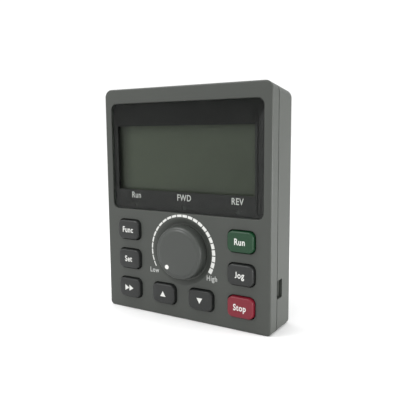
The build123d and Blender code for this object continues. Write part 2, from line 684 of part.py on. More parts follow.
with BuildPart() as display_driver:
    with BuildSketch(facing(BOARD_REAR_Y + 1.5)):
        with Locations((16, 62)):
            Rectangle(7, 12.5)
    extrude(amount=1.3)
    with BuildSketch(facing(BOARD_REAR_Y + 0.5)):
        with Locations((16, 62)):
            with GridLocations(8.0, 1.27, 2, 9):
                Rectangle(1.4, 0.45)
    extrude(amount=0.45)
save(display_driver, "display_driver")

with BuildPart() as crystal:
    with BuildSketch(facing(BOARD_REAR_Y + 1.1)):
        with Locations((-15, 51)):
            RectangleRounded(5.0, 3.2, 0.5)
    extrude(amount=1.05)
save(crystal, "crystal")

with BuildPart() as capacitor_can:
    with BuildSketch(facing(BOARD_REAR_Y + 5.4)):
        with Locations((16, 48)):
            Circle(2.5)
    extrude(amount=5.35)
    fillet(capacitor_can.faces().sort_by(Axis.Y)[-1].edges(), 0.5)
save(capacitor_can, "capacitor_can")

with BuildPart() as chip_components:
    with BuildSketch(facing(BOARD_REAR_Y + 0.75)):
        with Locations((-22, 76)):
            with GridLocations(3.4, 2.4, 4, 2):
                Rectangle(2.0, 1.25)
        with Locations((17, 36)):
            with GridLocations(3.4, 2.4, 4, 3):
                Rectangle(2.0, 1.25)
        with Locations((-17, 36)):
            with GridLocations(3.4, 2.4, 3, 2):
                Rectangle(1.6, 0.8)
    extrude(amount=0.7)
save(chip_components, "chip_components")

# ---- fasteners ----------------------------------------------------------------------
CASE_HEAD_Y = REAR_Y - COUNTERBORE_DEPTH
SCREW_REACH = 3.8


def cross_head_screws(places, seat_y):
    """Self-tapping pan-head screws with a cross recess, whose heads seat at seat_y."""
    with BuildPart() as screws:
        with BuildSketch(facing(seat_y + HEAD_T)):
            with Locations(*places):
                Circle(HEAD_R)
        extrude(amount=HEAD_T)
        fillet(screws.faces().sort_by(Axis.Y)[-len(places):].edges(), 0.4)
        with BuildSketch(facing(seat_y)):
            with Locations(*places):
                Circle(SCREW_R)
        extrude(amount=seat_y - BOARD_FRONT_Y + SCREW_REACH)
        with BuildSketch(facing(seat_y + HEAD_T)):
            with Locations(*places):
                Rectangle(2.2, 0.5)
                Rectangle(0.5, 2.2)
        extrude(amount=0.8, mode=Mode.SUBTRACT)
    return screws


save(cross_head_screws(CASE_SCREWS, CASE_HEAD_Y), "case_screws")
save(cross_head_screws(BOARD_SCREWS, BOARD_REAR_Y), "board_screws")

with BuildPart() as panel_inserts:
    with BuildSketch(facing(REAR_Y)):
        with Locations(*INSERTS):
            Circle(INSERT_R - SLIP_FIT)
            Circle(INSERT_THREAD_R, mode=Mode.SUBTRACT)
    extrude(amount=INSERT_LENGTH)
save(panel_inserts, "panel_inserts")
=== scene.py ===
# %% [markdown]
# # Operator keypad of a variable frequency drive
# The keypad is a slim two-part plastic case with a glossy display window, eight keys and a
# speed knob. The engineering model gives every part its exact size and place. This lesson
# gives those parts their looks: it makes the finishes, rebuilds the keys and the knob with
# softer shapes, prints the scale and the words, and lights the whole for a studio picture.

# %% Load the engineering model
import json
import math
import bmesh
import bpy
from mathutils import Matrix, Vector


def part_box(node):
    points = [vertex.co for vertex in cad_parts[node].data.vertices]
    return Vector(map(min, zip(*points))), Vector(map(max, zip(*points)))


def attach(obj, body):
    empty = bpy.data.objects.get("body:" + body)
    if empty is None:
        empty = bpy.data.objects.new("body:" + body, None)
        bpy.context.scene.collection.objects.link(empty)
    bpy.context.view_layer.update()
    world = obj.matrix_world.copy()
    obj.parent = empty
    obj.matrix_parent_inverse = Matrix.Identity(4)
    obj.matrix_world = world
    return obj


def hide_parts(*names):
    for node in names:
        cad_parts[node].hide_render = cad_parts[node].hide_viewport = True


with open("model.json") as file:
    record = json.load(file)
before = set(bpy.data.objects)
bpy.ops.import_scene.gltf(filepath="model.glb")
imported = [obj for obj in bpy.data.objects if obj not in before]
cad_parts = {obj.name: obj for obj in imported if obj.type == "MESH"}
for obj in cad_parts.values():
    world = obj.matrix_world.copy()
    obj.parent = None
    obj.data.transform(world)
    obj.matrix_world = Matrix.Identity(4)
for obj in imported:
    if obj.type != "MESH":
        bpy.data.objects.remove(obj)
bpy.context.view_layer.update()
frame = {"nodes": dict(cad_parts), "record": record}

MM = 0.001
nodes = frame["nodes"]
body_of_node = {node: body for body, members in frame["record"]["behaviour"]["bodies"].items()
                for node in members}

# %% [markdown]
# ## Where things are
# Every position below is read from the model, never typed in twice. A node's box gives its
# lowest and highest corner in metres, and from those come the centre of a key, the front of
# the case or the axis of the knob.

# %% Read the places that the pieces need


def box_mm(node):
    """The lowest and highest corners of a node, in millimetres."""
    low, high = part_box(node)
    return Vector(low) / MM, Vector(high) / MM


def middle_mm(node):
    """The centre of a node's box, in millimetres."""
    low, high = box_mm(node)
    return (low + high) / 2


FACE_Y = box_mm("front_shell")[0].y
KNOB_AT = middle_mm("knob")
print("front face at y =", round(FACE_Y, 2), "mm, knob axis at z =", round(KNOB_AT.z, 2), "mm")

# %% [markdown]
# ## The camera
# A product picture of a small thing is taken from close by with a mildly long lens, so the
# far edge is clearly smaller than the near one. The camera stands to the right and a little
# above the keypad, and looks slightly down. Setting it first means that every later test
# picture shows the final view.

# %% Place the camera
CAMERA_AT = Vector((105.3, FACE_Y - 158.6, 70.2)) * MM
CAMERA_LOOKS = Vector((-0.5189, 0.8454, -0.1265))
CAMERA_ROLL = math.radians(-0.449)

lens_data = bpy.data.cameras.new("studio_camera")
lens_data.lens = 46.35
lens_data.sensor_width = 36.0
lens_data.clip_start = 0.01
camera = bpy.data.objects.new("studio_camera", lens_data)
bpy.context.scene.collection.objects.link(camera)
turn = CAMERA_LOOKS.to_track_quat("-Z", "Y").to_matrix().to_4x4()
camera.matrix_world = Matrix.Translation(CAMERA_AT) @ turn @ Matrix.Rotation(CAMERA_ROLL, 4, "Z")
bpy.context.scene.camera = camera
print("camera", round((CAMERA_AT - KNOB_AT * MM).length / MM), "mm from the knob")

# %% [markdown]
# ## A small language for node trees
# Finishes and repeated shapes are both made of nodes. Wiring nodes by hand is long and hard
# to read, so two small classes do it: `Number` turns ordinary arithmetic into Math nodes, and
# `Graph` adds any other node from its type, its settings and its inputs. With them a formula
# in a material reads like a formula on paper.

# %% Numbers that add Math nodes


class Number:
    """A number in a node tree: arithmetic on it adds Math nodes."""

    def __init__(self, graph, socket):
        self.graph = graph
        self.socket = socket

    def math(self, operation, *values, clamp=False):
        """One Math node on the given values."""
        settings = {"operation": operation, "use_clamp": clamp}
        made = self.graph.node("ShaderNodeMath", settings, dict(enumerate(values)))
        return Number(self.graph, made.outputs[0])

    def __add__(self, other):
        return self.math("ADD", self, other)

    def __radd__(self, other):
        return self.math("ADD", other, self)

    def __sub__(self, other):
        return self.math("SUBTRACT", self, other)

    def __rsub__(self, other):
        return self.math("SUBTRACT", other, self)

    def __mul__(self, other):
        return self.math("MULTIPLY", self, other)

    def __rmul__(self, other):
        return self.math("MULTIPLY", other, self)

    def __truediv__(self, other):
        return self.math("DIVIDE", self, other)

    def __gt__(self, other):
        return self.math("GREATER_THAN", self, other)

    def power(self, exponent):
        return self.math("POWER", self, exponent)

    def clamped(self):
        return self.math("ADD", self, 0.0, clamp=True)

    def apply(self, operation):
        """A Math function of one value, such as SINE or FLOOR."""
        return self.math(operation, self)


# %% Graphs that add every other node


class Graph:
    """A node tree that is being built."""

    def __init__(self, tree):
        self.tree = tree

    def node(self, kind, settings=None, inputs=None):
        """One node: its type, its settings, then the values or links of its sockets."""
        made = self.tree.nodes.new(kind)
        for name, value in (settings or {}).items():
            setattr(made, name, value)
        for name, value in (inputs or {}).items():
            self.put(made.inputs[name], value)
        return made

    def put(self, socket, value):
        """Link a socket, or set its value."""
        if isinstance(value, Number):
            value = value.socket
        if isinstance(value, bpy.types.NodeSocket):
            self.tree.links.new(value, socket)
        else:
            socket.default_value = value

    def number(self, kind, settings=None, inputs=None, output=0):
        """One node, as a number that arithmetic works on."""
        return Number(self, self.node(kind, settings, inputs).outputs[output])

    def mixed(self, amount, first, second):
        """A colour between two colours."""
        settings = {"data_type": "RGBA", "clamp_factor": True}
        made = self.node("ShaderNodeMix", settings, {0: amount, 6: first, 7: second})
        return made.outputs[2]


print("node helpers ready")

# %% [markdown]
# ## What every finish shares
# A finish starts from one shader node, and its patterns are measured in millimetres on the
# object itself, so a grain of 0.2 mm is 0.2 mm on the case and on a key alike. Two patterns
# come back again and again: a fine grain, as a mould's etched surface leaves on plastic, and
# slow cloudy changes, as handling leaves on everything.

# %% The start of a finish


def paint(red, green, blue):
    """A screen colour, 0 to 255 each, as the shader's linear colour."""
    linear = [((c / 255 + 0.055) / 1.055) ** 2.4 if c > 10 else c / 255 / 12.92
              for c in (red, green, blue)]
    return (*linear, 1.0)


def shade(colour, factor):
    """The same colour, lighter or darker."""
    return (*[min(1.0, c * factor) for c in colour[:3]], 1.0)


class Finish(Graph):
    """A material in the making, with its shader node and its millimetre coordinates."""

    def __init__(self, name, **sockets):
        self.material = bpy.data.materials.new(name)
        self.material.use_nodes = True
        super().__init__(self.material.node_tree)
        self.shader = self.tree.nodes["Principled BSDF"]
        for socket, value in sockets.items():
            self.put(self.shader.inputs[socket.replace("_", " ")], value)
        place = self.node("ShaderNodeTexCoord").outputs["Object"]
        scaled = self.node("ShaderNodeVectorMath", {"operation": "SCALE"}, {0: place, "Scale": 1 / MM})
        self.mm = scaled.outputs[0]

    def noise(self, size, detail=2.0, roughness=0.5):
        """Cloudy noise from 0 to 1, whose blobs are about size mm across."""
        inputs = {"Vector": self.mm, "Scale": 1 / size, "Detail": detail, "Roughness": roughness}
        return self.number("ShaderNodeTexNoise", None, inputs)

    def set(self, socket, value):
        """Feed one socket of the shader."""
        self.put(self.shader.inputs[socket], value)

    def relief(self, height, depth, base=None):
        """Bumps of the given depth in mm, on top of any other normal."""
        inputs = {"Height": height, "Distance": depth * MM, "Strength": 1.0}
        if base is not None:
            inputs["Normal"] = base
        return self.node("ShaderNodeBump", None, inputs).outputs[0]

    def facet(self):
        """The true normal of each flat facet, so that no shading runs across a flat sheet."""
        return self.node("ShaderNodeNewGeometry").outputs["True Normal"]

    def edges(self, radius):
        """A soft-edged normal, and a mask that is 1 where the surface turns a corner."""
        soft = self.node("ShaderNodeBevel", {"samples": 4}, {"Radius": radius * MM}).outputs[0]
        flat = self.node("ShaderNodeNewGeometry").outputs["Normal"]
        cosine = self.number("ShaderNodeVectorMath", {"operation": "DOT_PRODUCT"},
                             {0: soft, 1: flat}, output="Value")
        return soft, (4.0 * (1 - cosine)).clamped()


# %% [markdown]
# ## Moulded plastic
# The case, the keys and the knob are ABS plastic from a steel mould with a finely etched
# surface. The etching leaves a grain of about a fifth of a millimetre, which breaks the
# shine up, and handling polishes the corners a little, so they are smoother. Their colour is
# painted lighter too, partly as wear and partly as a painted highlight where edges catch the
# light. A slow cloudy change in colour and shine keeps large faces from looking painted.

# %% Plastic from an etched mould


def moulded(name, colour, roughness=0.5, grain=0.22, depth=0.006, wear_and_highlight=0.25, clouds=0.06):
    """Etched plastic, with a grain in mm, a relief depth in mm, and polished corners, painted lighter
    as wear and as painted highlight.
    """
    finish = Finish(name, Specular_IOR_Level=0.45)
    soft, corner = finish.edges(0.25)
    slow = finish.noise(9.0, detail=3.0)
    fine = finish.noise(grain, detail=3.0, roughness=0.6)
    worn_and_lit = corner * (0.6 + 0.4 * slow)
    body = finish.mixed(slow, shade(colour, 1 - clouds), shade(colour, 1 + clouds))
    # Corners painted lighter: part wear, part painted highlight.
    finish.set("Base Color", finish.mixed(wear_and_highlight * worn_and_lit, body, shade(colour, 1.9)))
    finish.set("Roughness", roughness - 0.12 * worn_and_lit + 0.10 * (slow - 0.5) + 0.08 * (fine - 0.5))
    finish.set("Normal", finish.relief(fine, depth, soft))
    return finish.material


# %% [markdown]
# ## Silicone and rubber
# The key mat is soft silicone and the pills under the keys are silicone filled with carbon.
# Both are dull, with dust on them, and have hardly any grain of their own.

# %% Dull rubber


def rubbery(name, colour, roughness=0.75):
    """Silicone or rubber: dull, dusty and nearly smooth."""
    finish = Finish(name, Specular_IOR_Level=0.3)
    dust = finish.noise(0.5, detail=4.0)
    slow = finish.noise(4.0)
    finish.set("Base Color", finish.mixed(0.5 * dust, shade(colour, 0.9), shade(colour, 1.25)))
    finish.set("Roughness", roughness + 0.1 * (slow - 0.5))
    finish.set("Normal", finish.relief(dust, 0.004))
    return finish.material


# %% [markdown]
# ## Metal parts
# Screws, inserts, terminals and the shaft are turned, drawn or plated metal. Turning leaves
# rings round the axis of the part, which here always runs front to back. Stretching the
# noise along that axis gives fine lines like those of a tool, and a slow noise gives the
# slightly uneven shine of plating.

# %% Turned and plated metal


def metallic(name, colour, roughness=0.3, lines=0.05):
    """Metal with fine tool marks along its length and an uneven shine."""
    finish = Finish(name, Metallic=1.0)
    mapping = finish.node("ShaderNodeMapping", None, {"Vector": finish.mm, "Scale": (1.0, 12.0, 1.0)})
    marks = finish.number("ShaderNodeTexNoise", None,
                          {"Vector": mapping.outputs[0], "Scale": 1.5, "Detail": 3.0})
    tarnish = finish.noise(1.6, detail=3.0)
    finish.set("Base Color", finish.mixed(tarnish, shade(colour, 0.8), shade(colour, 1.08)))
    finish.set("Roughness", roughness + 0.2 * (tarnish - 0.5) + 0.1 * (marks - 0.5))
    finish.set("Normal", finish.relief(marks, lines * 0.1))
    return finish.material


# %% [markdown]
# ## Printing ink
# The words and the scale are printed in white ink. Printed ink is matte, a few hundredths
# of a millimetre thick and never quite even: its colour varies a little from stroke to
# stroke.

# %% Ink


def inked(name, colour, roughness=0.6):
    """Screen-printed ink, slightly uneven."""
    finish = Finish(name, Specular_IOR_Level=0.3)
    patches = finish.noise(0.35, detail=3.0)
    finish.set("Base Color", finish.mixed(patches, shade(colour, 0.86), colour))
    finish.set("Roughness", roughness + 0.1 * (patches - 0.5))
    finish.set("Normal", finish.relief(patches, 0.003, finish.facet()))
    return finish.material


# %% [markdown]
# ## The window and what is behind it
# The window is a flat sheet of clear acrylic, polished, with a black border printed on its
# back. At a slant it mirrors more and more of its surroundings, and the rest passes through.
# Mixing a clear shader with a mirror by a high power of the slant says just that, and lets
# the studio light reach the display behind it, which a full glass shader wouldn't without
# many more rays. Seen head-on the mirror is only four percent. So weak a mirror costs many
# samples and shows as grain, so it is left out, and the border's and the display's tones are
# painted a little lighter in its place: a painted reflection.

# %% Clear acrylic
SLANT_POWER = 5.0


def acrylic(name, tint, sheen):
    """A clear flat sheet: it mirrors more and more towards a slant, and is clear head-on."""
    finish = Finish(name, Base_Color=(1.0, 1.0, 1.0, 1.0), Metallic=1.0)
    haze = finish.noise(14.0, detail=3.0)
    finish.set("Roughness", 0.05 + 0.05 * haze)
    finish.set("Normal", finish.relief(finish.noise(25.0), 0.01, finish.facet()))
    slant = finish.number("ShaderNodeLayerWeight", None, {"Blend": 0.5, "Normal": finish.facet()},
                          output="Facing")
    clear = finish.node("ShaderNodeBsdfTransparent", None, {"Color": tint})
    both = finish.node("ShaderNodeMixShader", None,
                       {0: (sheen * slant.power(SLANT_POWER)).clamped(), 1: clear.outputs[0],
                            2: finish.shader.outputs[0]})
    finish.put(finish.tree.nodes["Material Output"].inputs["Surface"], both.outputs[0])
    return finish.material


# %% [markdown]
# ## The display
# A display that is switched off shows its polariser: a dull grey-green sheet. It lies deep
# behind the window, so its frame keeps some light from its left edge; that shade is painted
# into the sheet's colour, darker along the left edge. Towards the right it darkens slowly.
# Its colour is also painted a little lighter, as a painted reflection in the window.

# %% Display glass
SHADE_WIDTH = 7.5


def display(name, colour, low, high):
    """The polariser of a display that is off, with painted shade along its left edge."""
    finish = Finish(name, Specular_IOR_Level=0.35)
    place = finish.node("ShaderNodeSeparateXYZ", None, {0: finish.mm})
    x = Number(finish, place.outputs["X"])
    lit = ((x - low.x - 1.0) / SHADE_WIDTH).clamped()
    across = ((x - low.x) / (high.x - low.x)).clamped()
    slow = finish.noise(12.0, detail=2.0)
    # Painted shade: darker along the left edge, where the frame keeps light off.
    tone = lit * lit * (3.0 - 2.0 * lit) * (1.0 - 0.35 * across) + 0.2 * (slow - 0.5)
    finish.set("Base Color", finish.mixed(tone, shade(colour, 0.4), shade(colour, 1.12)))
    finish.set("Roughness", 0.42 + 0.1 * (slow - 0.5))
    return finish.material


# %% [markdown]
# ## The circuit board
# The board is glass-fibre with a green lacquer over its copper. Where copper runs under the
# lacquer, the green is lighter. Tracks run straight, so a brick pattern with long bricks is
# close to a board's look at this size.

# %% Lacquered circuit board


def circuit_board(name, colour):
    """Green lacquer, lighter over the copper tracks."""
    finish = Finish(name, Specular_IOR_Level=0.5)
    mapping = finish.node("ShaderNodeMapping", None,
                          {"Vector": finish.mm, "Rotation": (math.pi / 2, 0.0, 0.0)})
    tracks = finish.number("ShaderNodeTexBrick", {"offset": 0.4},
                           {"Vector": mapping.outputs[0], "Scale": 1.0, "Mortar Size": 0.12,
                            "Brick Width": 7.0, "Row Height": 0.9}, output="Fac")
    patches = finish.noise(7.0, detail=1.0) > 0.5
    copper = tracks * patches
    finish.set("Base Color", finish.mixed(copper, colour, shade(colour, 1.9)))
    finish.set("Roughness", 0.32 + 0.06 * (finish.noise(3.0) - 0.5))
    finish.set("Normal", finish.relief(copper, 0.02))
    return finish.material


print("finishes defined")

# %% [markdown]
# ## One finish for each material of the object
# The engineering model names a material slot for every node. Each slot gets its own finish
# here, once, and all nodes of that slot share it.

# %% Mix the finishes
CASE_GREY = paint(62, 65, 61)
KEY_GREY = paint(30, 32, 31)
LCD_LOW, LCD_HIGH = box_mm("lcd_front_glass")

finishes = {
    # The lighter corners of these plastics are partly wear and partly painted highlight.
    "case_grey": moulded("case_grey", CASE_GREY, roughness=0.48, wear_and_highlight=0.5),
    "knob_grey": moulded("knob_grey", paint(61, 64, 61), roughness=0.38, depth=0.004, wear_and_highlight=0.3),
    "key_dark": moulded("key_dark", KEY_GREY, roughness=0.46, depth=0.005, wear_and_highlight=0.4),
    "key_green": moulded("key_green", paint(5, 54, 27), roughness=0.46, depth=0.005, wear_and_highlight=0.4),
    "key_red": moulded("key_red", paint(114, 16, 34), roughness=0.46, depth=0.005, wear_and_highlight=0.4),
    "bezel_black": moulded("bezel_black", paint(34, 34, 34), roughness=0.55),
    "chip_black": moulded("chip_black", paint(26, 26, 27), roughness=0.6, grain=0.1),
    "pot_plastic": moulded("pot_plastic", paint(44, 78, 130), roughness=0.4),
    "component_tan": moulded("component_tan", paint(160, 138, 106), roughness=0.5),
    "diffuser_white": moulded("diffuser_white", paint(214, 218, 208), roughness=0.35),
    "pipe_clear": moulded("pipe_clear", paint(47, 48, 47), roughness=0.5, depth=0.001),
    "led_white": moulded("led_white", paint(222, 222, 196), roughness=0.3),
    "dot_white": inked("dot_white", paint(236, 236, 232), roughness=0.4),
    # The border's tone is painted a little lighter: a painted reflection in the window.
    "mask_black": inked("mask_black", paint(43, 43, 43), roughness=0.5),
    "silicone_grey": rubbery("silicone_grey", paint(140, 142, 140)),
    "carbon_black": rubbery("carbon_black", paint(22, 22, 22)),
    "connector_rubber": rubbery("connector_rubber", paint(88, 88, 92)),
    "board_green": circuit_board("board_green", paint(22, 92, 50)),
    "clear_acrylic": acrylic("clear_acrylic", (0.92, 0.93, 0.92, 1.0), 0.9),
    # The display's tone is painted a little lighter: a painted reflection in the window.
    "display_glass": display("display_glass", paint(66, 71, 61), LCD_LOW, LCD_HIGH),
    "gold_plate": metallic("gold_plate", paint(232, 196, 120), roughness=0.28),
    "bushing_brass": metallic("bushing_brass", paint(214, 184, 120), roughness=0.3),
    "insert_brass": metallic("insert_brass", paint(216, 182, 112), roughness=0.3),
    "shaft_steel": metallic("shaft_steel", paint(196, 196, 194), roughness=0.32),
    "screw_steel": metallic("screw_steel", paint(188, 188, 184), roughness=0.35),
    "tin_plate": metallic("tin_plate", paint(214, 214, 210), roughness=0.25),
    "capacitor_aluminium": metallic("capacitor_aluminium", paint(214, 215, 218), roughness=0.3),
}
print(len(finishes), "finishes")

# %% Dress the engineering nodes
slot_of = {row["node"]: row["material_slot"] for row in frame["record"]["subparts"]}
for name, node in nodes.items():
    node.data.materials.clear()
    node.data.materials.append(finishes[slot_of[name]])
print("dressed", len(nodes), "nodes")

# %% [markdown]
# ## Making a new piece
# A new piece is a mesh in the model's own frame: its object sits at the origin, unturned, and
# its place is in its points. These helpers do what every piece needs: they join double
# points, turn all faces outward, set the shading, give the finish, and let the piece ride on
# a body.

# %% From points and faces to a finished piece


def finished_piece(name, points, faces, finish, body):
    """A piece from points in mm and faces, with its finish, riding on its body."""
    mesh = bpy.data.meshes.new(name)
    mesh.from_pydata([Vector(p) * MM for p in points], [], faces)
    shape = bmesh.new()
    shape.from_mesh(mesh)
    bmesh.ops.remove_doubles(shape, verts=shape.verts, dist=1e-7)
    bmesh.ops.recalc_face_normals(shape, faces=shape.faces)
    shape.to_mesh(mesh)
    shape.free()
    return dressed(name, mesh, finish, body, True)


def dressed(name, mesh, finish, body, smooth):
    """An object at the origin for a mesh that already lies in place."""
    mesh.name = name
    mesh.materials.clear()
    mesh.materials.append(finishes[finish])
    mesh.polygons.foreach_set("use_smooth", [smooth] * len(mesh.polygons))
    piece = bpy.data.objects.new(name, mesh)
    bpy.context.scene.collection.objects.link(piece)
    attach(piece, body)
    return piece


def skin_of_rings(rings):
    """The points and faces of a tube of equal rings, with both ends closed by fans."""
    count = len(rings[0])
    points = [p for ring in rings for p in ring]
    faces = []
    for level in range(len(rings) - 1):
        for i in range(count):
            a, b = level * count + i, level * count + (i + 1) % count
            faces.append((a, b, b + count, a + count))
    for level in (0, len(rings) - 1):
        points.append(sum((Vector(p) for p in rings[level]), Vector()) / count)
        start = level * count
        faces += [(start + i, start + (i + 1) % count, len(points) - 1) for i in range(count)]
    return points, faces


print("piece helpers ready")

# %% [markdown]
# ## Truly flat sheets
# The window and its printed border are flat sheets with small holes. A copy with every facet
# shaded flat keeps the engineering shape, and no soft shading runs from a hole's wall across
# the sheet, where it would show as a streak.

# %% Flat copies of the window and its border


def flat_copy(name, node, body):
    """A flat-shaded copy of an engineering node, which takes its place."""
    mesh = nodes[node].data.copy()
    mesh.transform(nodes[node].matrix_world)
    if "custom_normal" in mesh.attributes:
        mesh.attributes.remove(mesh.attributes["custom_normal"])
    piece = dressed(name, mesh, slot_of[node], body, False)
    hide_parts(node)


flat_copy("clear_window", "window_lens", body_of_node["window_lens"])
flat_copy("printed_border", "window_mask", body_of_node["window_mask"])
print("flattened the window and its border")

# %% [markdown]
# ## The key caps
# A key cap on the real keypad is a little cushion: its outline is a rounded rectangle, its
# edges roll over gently, and its top is very slightly crowned. It could be a cube with a
# bevel and a subdivision modifier, but then the corner radius and the crown couldn't be set
# apart. Stacked rings give both: each ring is the outline drawn in by a little and raised by
# a little, first along a quarter circle for the rolled edge and then along a flat curve for
# the crown.

# %% The outline and the height of a key cap
CORNER_STEPS = 10
EDGE_STEPS = 8
CROWN_STEPS = 10
CAP_CORNER = 2.0
CAP_EDGE = 0.7
CAP_CROWN = 0.16
CAP_DRAFT = 0.10
CAP_LEAST_CORNER = 0.8
FLANGE = 0.9
FLANGE_T = 0.8
INNER_CORNER = 0.2
INNER_GAP = 0.25


def rounded_outline(half_width, half_height, radius):
    """Points round a rounded rectangle, the same number whatever its size."""
    outline = []
    for quarter, (sx, sz) in enumerate(((1, 1), (-1, 1), (-1, -1), (1, -1))):
        for step in range(CORNER_STEPS + 1):
            angle = math.pi / 2 * (quarter + step / CORNER_STEPS)
            outline.append((sx * (half_width - radius) + radius * math.cos(angle),
                            sz * (half_height - radius) + radius * math.sin(angle)))
    return outline


def crown_height(x, z, half_width, half_height):
    """How far the crowned top stands below its highest point, in mm."""
    return CAP_CROWN * ((x / half_width) ** 2 + (z / half_height) ** 2) / 2


# %% Build a key cap from rings


def key_cap(name, body):
    """A cushion-shaped cap over the whole height of the engineering node."""
    node = "key_" + name
    low, high = box_mm(node)
    at = (low + high) / 2
    half_w = (high.x - low.x) / 2 - FLANGE
    half_h = (high.z - low.z) / 2 - FLANGE
    rings = []

    def ring(inset, y, radius):
        outline = rounded_outline(half_w - inset, half_h - inset, radius)
        rings.append([(at.x + x, y, at.z + z) for x, z in outline])

    flange = rounded_outline(half_w + FLANGE, half_h + FLANGE, CAP_CORNER)
    for y in (high.y, high.y - FLANGE_T):
        rings.append([(at.x + x, y, at.z + z) for x, z in flange])
    ring(-CAP_DRAFT, high.y - FLANGE_T, CAP_CORNER)
    edge_y = low.y + CAP_CROWN + CAP_EDGE
    for step in range(EDGE_STEPS + 1):
        angle = math.pi / 2 * step / EDGE_STEPS
        inset = CAP_EDGE * (1 - math.cos(angle))
        ring(inset, edge_y - CAP_EDGE * math.sin(angle), max(CAP_CORNER - inset, CAP_LEAST_CORNER))
    for step in range(1, CROWN_STEPS):
        share = step / CROWN_STEPS
        inset = CAP_EDGE + (half_h - CAP_EDGE - INNER_GAP) * share
        corner = max(CAP_CORNER - inset, INNER_CORNER)
        outline = rounded_outline(half_w - inset, half_h - inset, corner)
        crown = CAP_CROWN * (1 - share) ** 2
        rings.append([(at.x + x, low.y + crown, at.z + z) for x, z in outline])
    points, faces = skin_of_rings(rings)
    piece = finished_piece("cap_" + name, points, faces, slot_of[node], body)
    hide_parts(node)


key_names = [name[4:] for name in nodes if name.startswith("key_") and name != "key_mat"]
for key_name in key_names:
    key_cap(key_name, body_of_node["key_" + key_name])
print("made", len(key_names), "key caps")

# %% [markdown]
# ## The speed knob
# The knob is round, so half of its section says everything: a face that is nearly flat and
# falls away gently near its edge, a rolled rim, a side with a slight draft, and the hollow
# behind with the hub in it. Spinning that section round the axis makes the whole knob. The
# section is a list of radius and depth, and the face's and the rim's curves are worked out.

# %% The knob's half section
KNOB_LOW, KNOB_HIGH = box_mm("knob")
KNOB_FRONT = KNOB_LOW.y
KNOB_RIM_Y = FACE_Y + 0.3
KNOB_BASE_R = (KNOB_HIGH.x - KNOB_LOW.x) / 2
KNOB_FACE_R = KNOB_BASE_R - 0.5
KNOB_RIM_R = 1.2
KNOB_RIM_START = 8.0
KNOB_DOME_R = KNOB_FACE_R - KNOB_RIM_R * (1 - math.sin(math.radians(KNOB_RIM_START)))
KNOB_DOME = 0.14
KNOB_SKIN = 1.4
KNOB_WALL = 1.4
HOLE_BOTTOM_Y = KNOB_FRONT + KNOB_SKIN + 0.25
FACE_STEPS = 8
RIM_STEPS = 12
HUB_R = 4.0
SHAFT_HOLE_R = 3.04
KNOB_STEPS = 160

knob_section = []
for step in range(FACE_STEPS + 1):
    radius = KNOB_DOME_R * step / FACE_STEPS
    knob_section.append((radius, KNOB_FRONT + KNOB_DOME * (radius / KNOB_DOME_R) ** 4))
for step in range(RIM_STEPS + 1):
    angle = math.radians(KNOB_RIM_START + (90 - KNOB_RIM_START) * step / RIM_STEPS)
    knob_section.append((KNOB_FACE_R - KNOB_RIM_R * (1 - math.sin(angle)),
                         KNOB_FRONT + KNOB_DOME + KNOB_RIM_R * (1 - math.cos(angle))))
knob_section += [
    (KNOB_BASE_R - 0.03, KNOB_RIM_Y - 0.15),
    (KNOB_BASE_R - 0.1, KNOB_RIM_Y),
    (KNOB_BASE_R - KNOB_WALL, KNOB_RIM_Y),
    (KNOB_BASE_R - KNOB_WALL - 0.2, KNOB_FRONT + KNOB_SKIN),
    (HUB_R, KNOB_FRONT + KNOB_SKIN),
    (HUB_R, KNOB_HIGH.y),
    (SHAFT_HOLE_R, KNOB_HIGH.y),
    (SHAFT_HOLE_R, HOLE_BOTTOM_Y),
    (0.0, HOLE_BOTTOM_Y),
]

# %% Spin the section


def spun(section, at, steps):
    """The points and faces of a section turned round an axis that runs front to back."""
    rings = []
    for step in range(steps):
        angle = 2 * math.pi * step / steps
        rings.append([(at.x + r * math.cos(angle), y, at.z + r * math.sin(angle)) for r, y in section])
    count = len(section)
    points = [p for ring in rings for p in ring]
    faces = []
    for step in range(steps):
        here, there = step * count, (step + 1) % steps * count
        for i in range(count - 1):
            quad = (here + i, here + i + 1, there + i + 1, there + i)
            if section[i][0] == 0.0:
                quad = (here + i, here + i + 1, there + i + 1)
            elif section[i + 1][0] == 0.0:
                quad = (here + i, here + i + 1, there + i)
            faces.append(quad)
    return points, faces


knob_points, knob_faces = spun(knob_section, KNOB_AT, KNOB_STEPS)
knob = finished_piece("speed_knob_cap", knob_points, knob_faces, "knob_grey", "speed_knob")
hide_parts("knob")
print("knob section has", len(knob_section), "points")

# %% [markdown]
# ## The printed scale
# Round the knob runs a scale of 24 white blocks. They stand every ten degrees from Low to
# High, share one outer radius, and grow steadily wider on the inside. That is a rule, so
# Geometry Nodes make it: small slabs are laid in a row along a straight ruler, and the ruler
# is then bent round the knob. Bending comes last, so each block follows the circle truly
# instead of being a straight bar. Sizes are named inputs of the tree.

# %% The tree that lays and bends the blocks
SCALE_BLOCKS = 24
SCALE_START = 210.0
SCALE_PITCH = 10.0


